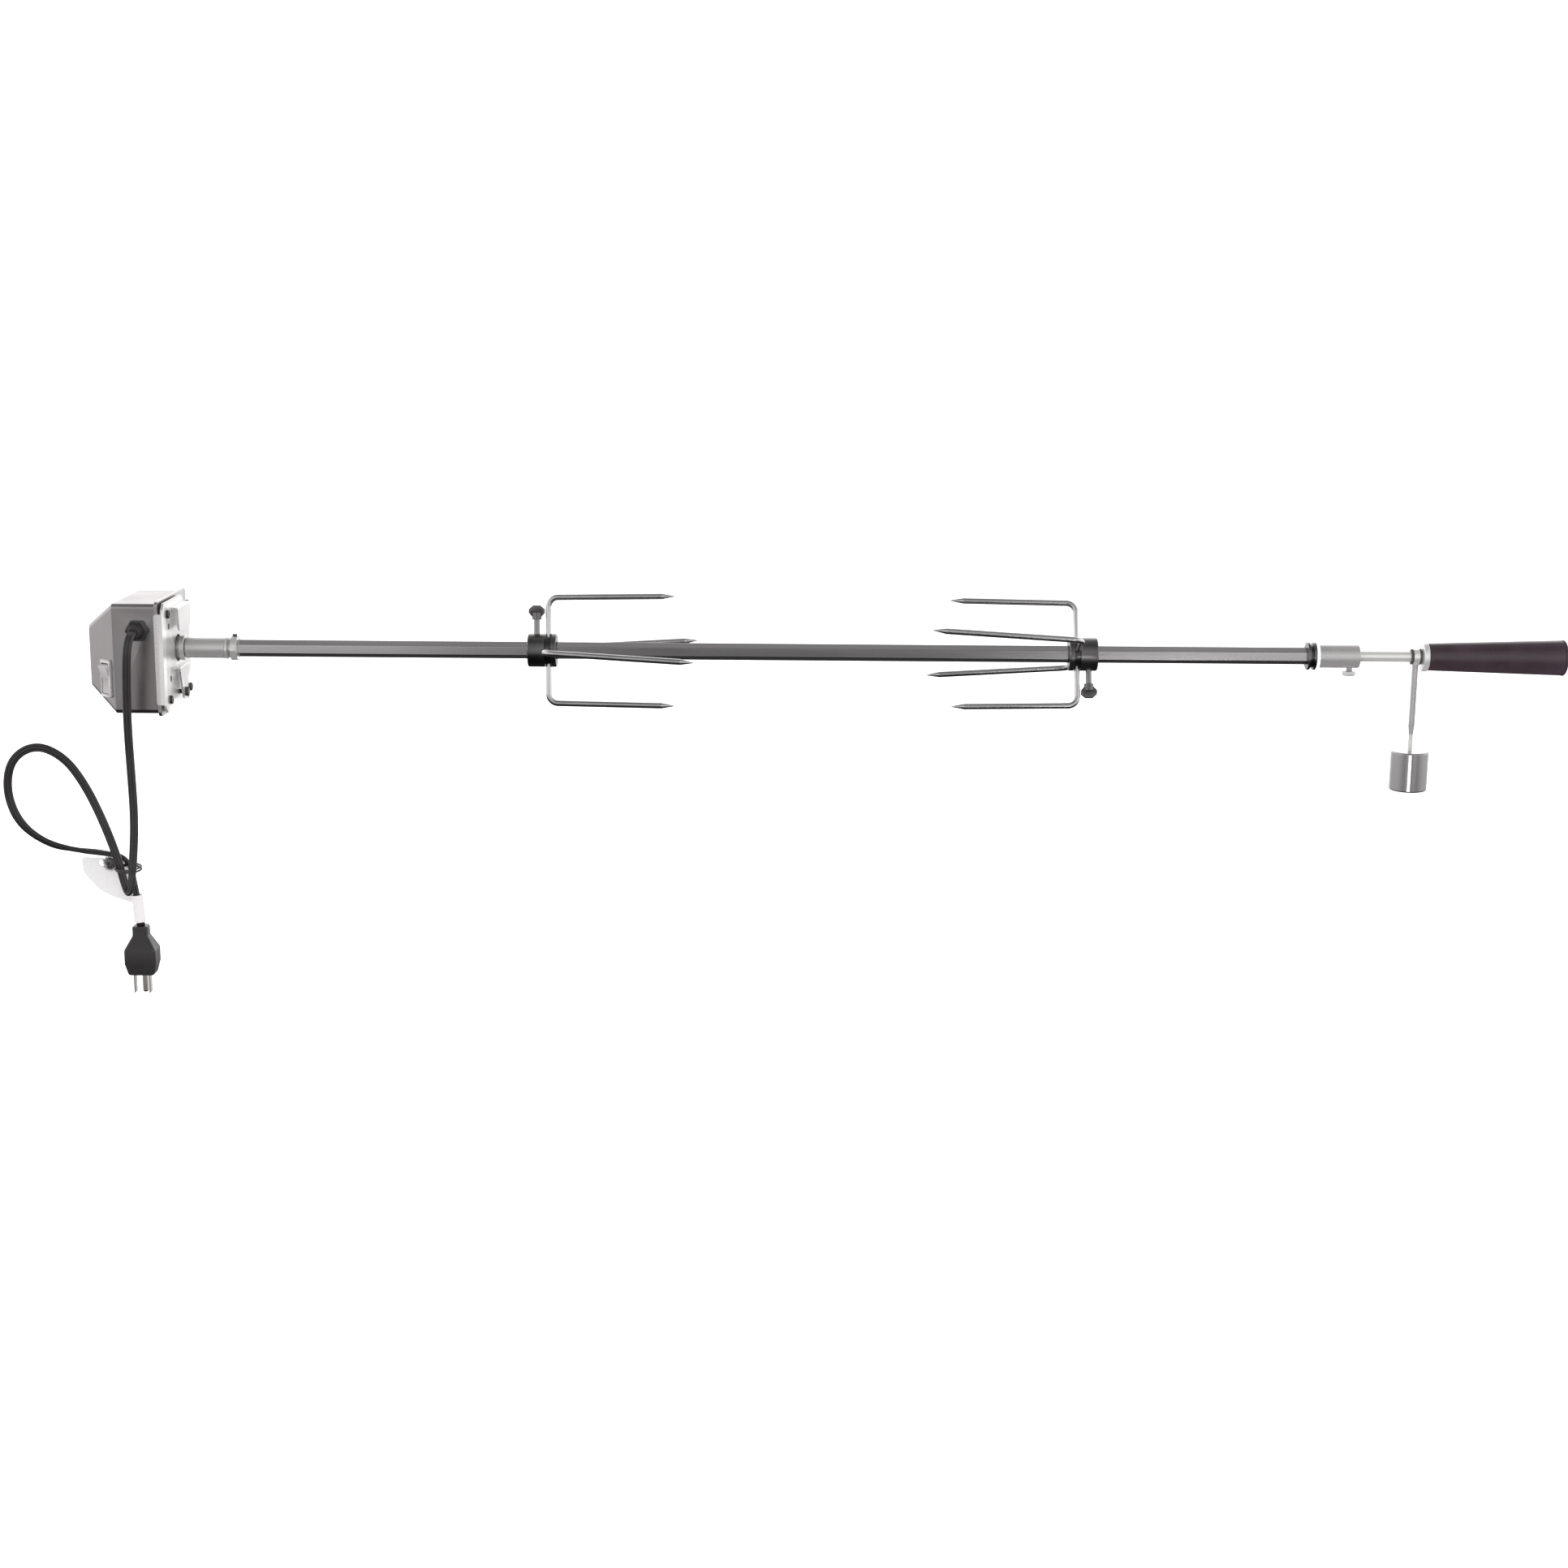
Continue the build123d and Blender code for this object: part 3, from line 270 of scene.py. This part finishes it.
# where the handle's shank and ferrule get a painted sheen, near white, between 1.00 m and 1.06 m
# along the spit
SHANK_SHEEN_STRETCH = (1.0, 1.06, [(0.0, 0.0), (0.012, 0.85), (0.738, 0.85), (0.76, 0.0), (0.885, 0.0),
                           (0.895, 0.7), (0.98, 0.7), (1.0, 0.0)])
materials = {
    "satin_stainless": metal("satin_stainless", (0.41, 0.38, 0.385), (0.34, 0.315, 0.32),
                             0.30, 0.40, UPWARD, worn=(0.62, 0.60, 0.60)),
    # bright_stainless carries the painted sheen on the handle's shank and ferrule
    "bright_stainless": metal("bright_stainless", (0.45, 0.432, 0.435), (0.37, 0.355, 0.357),
                              0.26, 0.36, ALL_WAYS, 500.0, metallic=0.7, painted_sheen=SHANK_SHEEN_STRETCH),
    "polished_stainless": metal("polished_stainless", (0.40, 0.38, 0.385), (0.32, 0.305, 0.31),
                                0.14, 0.2, UPWARD),
    "spit_steel": drawn_bar("spit_steel"),
    "tine_steel": metal("tine_steel", (0.66, 0.645, 0.65), (0.54, 0.525, 0.53),
                        0.2, 0.3, ALONG_SPIT),
    "dark_steel": metal("dark_steel", (0.14, 0.135, 0.135), (0.07, 0.068, 0.068),
                        0.26, 0.42, ALL_WAYS, 700.0, 0.1, (0.36, 0.35, 0.345)),
    "black_oxide": metal("black_oxide", (0.05, 0.048, 0.047), (0.02, 0.02, 0.02),
                         0.3, 0.5, ALL_WAYS, 700.0, 0.1, (0.2, 0.195, 0.19)),
    "zinc_steel": metal("zinc_steel", (0.62, 0.61, 0.58), (0.44, 0.44, 0.42),
                        0.3, 0.5, ALL_WAYS, 300.0),
    "bronze": metal("bronze", (0.60, 0.40, 0.20), (0.42, 0.27, 0.13), 0.35, 0.5, ALL_WAYS, 1200.0),
    "brass_pins": metal("brass_pins", (0.72, 0.66, 0.52), (0.58, 0.52, 0.40), 0.2, 0.35, UPWARD),
    "bead_chain": metal("bead_chain", (0.62, 0.60, 0.60), (0.42, 0.41, 0.41), 0.12, 0.25, ALL_WAYS),
    "ferrite": plastic("ferrite", (0.06, 0.06, 0.065), (0.035, 0.035, 0.04), 0.6, 0.8),
    "white_nylon": plastic("white_nylon", (0.82, 0.81, 0.79), (0.72, 0.71, 0.69), 0.4, 0.55),
    "black_plastic": plastic("black_plastic", (0.022, 0.020, 0.022), (0.010, 0.009, 0.010),
                             0.35, 0.55),
    "grey_plastic": plastic("grey_plastic", (0.30, 0.285, 0.29), (0.22, 0.21, 0.215), 0.35, 0.5),
    "handle_phenolic": plastic("handle_phenolic", (0.036, 0.020, 0.029), (0.025, 0.015, 0.020),
                               0.26, 0.38, 1500.0, 0.05, 0.2, 0.0),
    "cord_vinyl": plastic("cord_vinyl", (0.014, 0.011, 0.012), (0.007, 0.006, 0.006),
                          0.3, 0.45, 1800.0, 0.1, 0.15),
    "blank_paper": card("blank_paper", (0.66, 0.63, 0.64), (0.56, 0.54, 0.545)),
    "blank_card": card("blank_card", (0.66, 0.65, 0.655), (0.56, 0.55, 0.555)),
    "copper_coil": windings("copper_coil", (0.70, 0.30, 0.14), (0.30, 0.11, 0.05)),
}


# ---- ways to make pieces ----------------------------------------------------------------------
def link(name, mesh, node=None, slot=None, body=None):
    """Puts a mesh in the scene, riding on its body and taking its slot's material."""
    piece = bpy.data.objects.new(name, mesh)
    bpy.context.scene.collection.objects.link(piece)
    slot = slot or slot_of_node[node]
    mesh.materials.clear()
    mesh.materials.append(materials[slot])
    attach(piece, body or body_of_node[node])
    return piece


def from_bmesh(name, shape, **where):
    mesh = bpy.data.meshes.new(name)
    bmesh.ops.recalc_face_normals(shape, faces=shape.faces)
    shape.to_mesh(mesh)
    shape.free()
    mesh.shade_smooth()
    return link(name, mesh, **where)


# a finished copy joins vertices this near, melts edges flatter than one angle, rounds those
# sharper than the other
WELD_DISTANCE = 3e-6
FLAT_ANGLE = radians(0.4)
SHARP_ANGLE = radians(28)
EDGE_SEGMENTS = 3


def rounded(piece, width):
    """Rolls every sharp edge over by a real radius and keeps the flats flat."""
    edge = piece.modifiers.new("edge", "BEVEL")
    edge.width = width
    edge.segments = EDGE_SEGMENTS
    edge.limit_method = "ANGLE"
    edge.angle_limit = SHARP_ANGLE
    edge.use_clamp_overlap = True
    edge.harden_normals = False
    normals = piece.modifiers.new("normals", "WEIGHTED_NORMAL")
    normals.keep_sharp = False
    normals.weight = 80
    return piece


def finished(node, width):
    """A copy of a CAD node with its edges finished, shown in the node's place."""
    shape = bmesh.new()
    shape.from_mesh(frame["nodes"][node].data)
    bmesh.ops.remove_doubles(shape, verts=shape.verts, dist=WELD_DISTANCE)
    bmesh.ops.dissolve_limit(shape, angle_limit=FLAT_ANGLE, verts=shape.verts, edges=shape.edges)
    piece = from_bmesh(node + "_finished", shape, node=node)
    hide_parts(node)
    return rounded(piece, width)


def ring_of(shape, centre, across, up, outline):
    """New vertices along an outline, laid on the two given directions."""
    return [shape.verts.new(centre + across * x + up * y) for x, y in outline]


def bridge(shape, first, second):
    """Faces between two rings of as many vertices."""
    count = len(first)
    for i in range(count):
        j = (i + 1) % count
        shape.faces.new((first[i], first[j], second[j], second[i]))


def frames_along(points):
    """Tangent and a steady sideways direction at each point of a path."""
    tangents = []
    for i, point in enumerate(points):
        ahead = points[min(i + 1, len(points) - 1)]
        behind = points[max(i - 1, 0)]
        tangents.append((ahead - behind).normalized())
    side = tangents[0].orthogonal().normalized()
    sides = []
    for tangent in tangents:
        side = (side - tangent * side.dot(tangent)).normalized()
        sides.append(side)
    return tangents, sides


def closed_tube(name, points, outline, **where):
    """Sweeps an outline along a ring of points."""
    tangents, sides = frames_along(points)
    shape = bmesh.new()
    rings = []
    for point, tangent, side in zip(points, tangents, sides):
        rings.append(ring_of(shape, point, side, tangent.cross(side), outline))
    for first, second in zip(rings, rings[1:] + rings[:1]):
        bridge(shape, first, second)
    return from_bmesh(name, shape, **where)


def circle_outline(radius, steps):
    return [(radius * cos(tau * i / steps), radius * sin(tau * i / steps)) for i in range(steps)]


# ---- cord -------------------------------------------------------------------------------------
CORD_WIDTH = 7.0 * MM
CORD_ROUTE = [
    (-21.6, -59.0, 21.1),
    (-21.6, -68.5, 21.1),
    (-23.3, -73.2, 11.0),
    (-24.7, -72.6, -3.5),
    (-26.2, -70.0, -24.5),
    (-27.6, -67.6, -56.5),
    (-26.7, -66.6, -98.0),
    (-25.9, -66.9, -136.0),
    (-28.2, -68.6, -169.0),
    (-31.0, -70.6, -197.0),
    (-38.0, -58.6, -197.5),
    (-43.8, -59.2, -169.0),
    (-55.0, -59.0, -136.0),
    (-68.0, -58.8, -106.5),
    (-84.0, -58.6, -83.5),
    (-107.0, -58.4, -72.8),
    (-128.6, -58.2, -85.0),
    (-134.6, -57.4, -112.5),
    (-126.0, -56.0, -141.0),
    (-104.0, -53.6, -159.0),
    (-79.5, -51.6, -164.8),
    (-58.0, -50.0, -167.2),
    (-36.5, -49.9, -171.4),
    (-31.7, -51.0, -201.5),
    (-28.9, -52.5, -229.5),
]
# degrees that the flat cord has turned about its own line, at shares of its length
CORD_TWIST = [(0.0, 0), (0.12, 0), (0.30, 8), (0.40, 50), (0.46, 20), (0.60, 0), (0.72, -20),
              (0.80, 40), (0.86, 95), (0.93, 60), (1.0, 0)]


CORD_STEPS = 14


def curve_points(route):
    """Points read from the smooth line that a route's control points pull on."""
    curve = bpy.data.curves.new("route", "CURVE")
    curve.dimensions = "3D"
    line = curve.splines.new("NURBS")
    line.points.add(len(route) - 1)
    for point, place in zip(line.points, route):
        point.co = (*mm(*place), 1.0)
    line.order_u = 3
    line.use_endpoint_u = True
    line.resolution_u = CORD_STEPS
    holder = bpy.data.objects.new("route", curve)
    mesh = bpy.data.meshes.new_from_object(holder)
    points = [vertex.co.copy() for vertex in mesh.vertices]
    bpy.data.objects.remove(holder)
    bpy.data.curves.remove(curve)
    bpy.data.meshes.remove(mesh)
    return points


def blend_list(pairs, share):
    """The value at a share of the way through (share, value) pairs, eased between them."""
    for (start, first), (end, second) in zip(pairs, pairs[1:]):
        if share <= end:
            t = (share - start) / (end - start)
            t = t * t * (3 - 2 * t)
            return first + (second - first) * t
    return pairs[-1][1]


def cord_outline():
    """Three cores side by side in one flat jacket, a shallow valley between each pair."""
    outline = []
    steps = 48
    half_width = CORD_WIDTH / 2
    for i in range(steps):
        angle = tau * i / steps
        x = half_width * cos(angle)
        thickness = 0.62 * half_width * (abs(sin(angle)) ** 0.55) * (1 if sin(angle) >= 0 else -1)
        valley = 0.13 * half_width * (0.5 + 0.5 * cos(3 * pi * x / half_width + pi))
        thickness -= valley * (1 if sin(angle) >= 0 else -1) * min(1.0, abs(sin(angle)) * 2)
        outline.append((x, thickness))
    return outline


def make_cord():
    points = curve_points(CORD_ROUTE)
    tangents, sides = frames_along(points)
    across = Vector((1, 0, 0))
    travelled = [0.0]
    for first, second in zip(points, points[1:]):
        travelled.append(travelled[-1] + (second - first).length)
    facing = Vector((0, -1, 0))
    shape = bmesh.new()
    rings = []
    outline = cord_outline()
    for point, tangent, distance in zip(points, tangents, travelled):
        across = facing.cross(tangent) if abs(facing.dot(tangent)) < 0.93 else across
        across = (across - tangent * across.dot(tangent)).normalized()
        turn = radians(blend_list(CORD_TWIST, distance / travelled[-1]))
        turned = Matrix.Rotation(turn, 3, tangent) @ across
        rings.append(ring_of(shape, point, turned, tangent.cross(turned), outline))
    for first, second in zip(rings, rings[1:]):
        bridge(shape, first, second)
    shape.faces.new(rings[0])
    shape.faces.new(rings[-1])
    cord = from_bmesh("flat_cord", shape, node="power_cord")
    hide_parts("power_cord")
    return cord, points


make_camera()
flat_cord, cord_points = make_cord()


# ---- carried-over nodes -----------------------------------------------------------------------
for name, node_object in frame["nodes"].items():
    node_object.data.materials.clear()
    node_object.data.materials.append(materials[slot_of_node[name]])

# radius in millimetres that each node's sharp edges are rolled over by
EDGE_WIDTHS = {
    "motor_housing": 0.35,
    "face_plate": 0.35,
    "mounting_bracket": 0.45,
    "bracket_spacers": 0.2,
    "bracket_screws": 0.25,
    "clamp_screw": 0.3,
    "switch_frame": 0.5,
    "switch_rocker": 0.5,
    "cord_bushing": 0.6,
    "drive_socket": 0.4,
    "spit_rod": 0.5,
    "drive_sleeve": 0.3,
    "motor_end_bushing": 0.4,
    "bushing_grub_screw": 0.3,
    "handle_end_bushing": 0.5,
    "bearing_washer": 0.3,
    "handle_collar": 0.3,
    "handle_set_screw": 0.4,
    "arm_nuts": 0.4,
    "counterweight": 0.4,
    "handle_ferrule": 0.4,
    "handle_grip": 0.6,
    "handle_cap": 0.4,
    "plug_body": 1.1,
    "plug_pins": 0.25,
    "left_fork_hub": 0.5,
    "right_fork_hub": 0.5,
    "left_thumbscrew_wing": 1.2,
    "right_thumbscrew_wing": 1.2,
}
finished_pieces = {node: finished(node, width * MM) for node, width in EDGE_WIDTHS.items()}


def middle_and_reach(node):
    """The middle of a node's box and half its size."""
    places = [vertex.co for vertex in frame["nodes"][node].data.vertices]
    low = Vector([min(place[i] for place in places) for i in range(3)])
    high = Vector([max(place[i] for place in places) for i in range(3)])
    return (low + high) / 2, (high - low) / 2


def make_tie():
    """Two turns of coated wire round both runs of the cord, pulled in between them."""
    middle, reach = middle_and_reach("cord_tie")
    wire = 0.85 * MM
    turns, steps = 2, 60
    points = []
    for i in range(turns * steps):
        angle = tau * i / steps
        squeeze = 1 - 0.10 * sin(angle) ** 2
        x = (reach.x - wire) * 0.93 * cos(angle) * squeeze
        y = (reach.y - wire) * 0.93 * sin(angle)
        z = (reach.z - wire) * cos(angle / turns)
        points.append(middle + Vector((x, y, z)))
    tie = closed_tube("cord_tie_wire", points, circle_outline(wire, 14), node="cord_tie")
    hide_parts("cord_tie")
    return tie


def make_bead_chain():
    """Pressed beads on a fine wire, in the ring that the chain fills."""
    middle, reach = middle_and_reach("tag_chain")
    wire = reach.y
    radius = reach.x - wire
    beads, steps = 18, 12
    profile = [(-0.5, 0.22), (-0.40, 0.30), (-0.36, 0.62), (-0.26, 0.86), (-0.12, 0.98), (0.0, 1.0),
               (0.12, 0.98), (0.26, 0.86), (0.36, 0.62), (0.40, 0.30)]
    shape = bmesh.new()
    rings = []
    circle = circle_outline(wire, steps)
    for k in range(beads):
        for share, size in profile:
            angle = tau * (k + share) / beads
            out = Vector((cos(angle), 0, sin(angle)))
            up = Vector((0, size, 0))
            rings.append(ring_of(shape, middle + out * radius, out * size, up, circle))
    for first, second in zip(rings, rings[1:] + rings[:1]):
        bridge(shape, first, second)
    chain = from_bmesh("bead_chain_links", shape, node="tag_chain")
    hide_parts("tag_chain")
    return chain


tie_wire = make_tie()
bead_chain = make_bead_chain()


# ---- stage ------------------------------------------------------------------------------------
FLOOR_HEIGHT = -0.42
FLOOR_HALF = 60.0
FLOOR_GLOW = 0.8


def pale_stage_material():
    """Matt white paper, lit from above until it glows like the sweep of a studio."""
    shader = Shader("pale_floor", Roughness=0.9, Specular_IOR_Level=0.1)
    grain = shader.noise(3.0, 4.0)
    clouds = shader.ramp(grain, 0.3, 0.7, 0.0, 1.0)
    shader.colour(shader.mixed(clouds, (0.93, 0.93, 0.93), (0.95, 0.95, 0.95)))
    shader.surface.inputs["Emission Color"].default_value = (1, 1, 1, 1)
    shader.surface.inputs["Emission Strength"].default_value = FLOOR_GLOW
    return shader.material


def make_floor():
    shape = bmesh.new()
    bmesh.ops.create_grid(shape, x_segments=1, y_segments=1, size=FLOOR_HALF)
    mesh = bpy.data.meshes.new("floor")
    shape.to_mesh(mesh)
    shape.free()
    floor = bpy.data.objects.new("floor", mesh)
    floor.location = (0.5, 0, FLOOR_HEIGHT)
    bpy.context.scene.collection.objects.link(floor)
    mesh.materials.append(pale_stage_material())
    floor.visible_glossy = False


# brightness of the studio by height: straight down, through eye level, to straight up
SIDE_HEIGHTS = [(0.0, 0.02), (0.30, 0.03), (0.40, 0.55), (0.47, 0.9), (0.56, 1.0), (0.72, 0.9),
                (0.88, 0.5), (0.95, 0.18), (1.0, 0.22)]
# and by direction round the room, multiplying it: 0 is behind the camera, 1 behind the object
ROUND_ROOM = [(0.0, 0.34), (0.035, 0.36), (0.055, 1.0), (0.13, 0.95), (0.22, 0.7), (0.45, 1.25),
              (0.8, 1.3), (0.9, 1.9), (1.0, 2.0)]


def make_world():
    """White studio: bright at eye level, dim above and below, darker behind the camera."""
    world = bpy.data.worlds.new("studio")
    bpy.context.scene.world = world
    world.use_nodes = True
    nodes, links = world.node_tree.nodes, world.node_tree.links
    direction = nodes.new("ShaderNodeTexCoord").outputs["Generated"]
    parts = nodes.new("ShaderNodeSeparateXYZ")
    links.new(direction, parts.inputs["Vector"])

    def stops(source, low, high, table):
        shift = nodes.new("ShaderNodeMapRange")
        shift.inputs["From Min"].default_value = low
        shift.inputs["From Max"].default_value = high
        links.new(source, shift.inputs["Value"])
        ramp = nodes.new("ShaderNodeValToRGB")
        links.new(shift.outputs["Result"], ramp.inputs["Fac"])
        set_tones(ramp, table)
        return ramp.outputs["Color"]

    def maths(operation, first, second):
        node = nodes.new("ShaderNodeMath")
        node.operation = operation
        links.new(first, node.inputs[0])
        if isinstance(second, float):
            node.inputs[1].default_value = second
        else:
            links.new(second, node.inputs[1])
        return node.outputs["Value"]

    across = maths("ABSOLUTE", parts.outputs["X"], 0.0)
    behind = maths("MULTIPLY", parts.outputs["Y"], -1.0)
    azimuth = maths("ARCTAN2", across, behind)
    heights = stops(parts.outputs["Z"], -1.0, 1.0, SIDE_HEIGHTS)
    room = stops(azimuth, 0.0, pi, ROUND_ROOM)
    links.new(maths("MULTIPLY", heights, room), nodes["Background"].inputs["Color"])
    nodes["Background"].inputs["Strength"].default_value = 1.0


def softbox(name, place, target, size, power, glossy=True):
    data = bpy.data.lights.new(name, "AREA")
    data.shape = "RECTANGLE"
    data.size, data.size_y = size
    data.energy = power
    lamp = bpy.data.objects.new(name, data)
    bpy.context.scene.collection.objects.link(lamp)
    lamp.location = place
    lamp.rotation_mode = "QUATERNION"
    lamp.rotation_quaternion = (Vector(target) - Vector(place)).to_track_quat("-Z", "Y")
    lamp.visible_camera = False
    lamp.visible_glossy = glossy


make_floor()
make_world()
softbox("overhead", (0.5, -0.2, 2.4), (0.5, 0, 0), (3.4, 2.2), 45, glossy=False)
softbox("front", (0.4, -3.2, 1.1), (0.5, 0, 0), (3.0, 1.0), 30, glossy=False)
softbox("weight_strip", (0.93, -0.78, -0.26), (1.05, 0, -0.1), (0.2, 0.1), 0.35)
bpy.context.scene.view_settings.view_transform = "Standard"
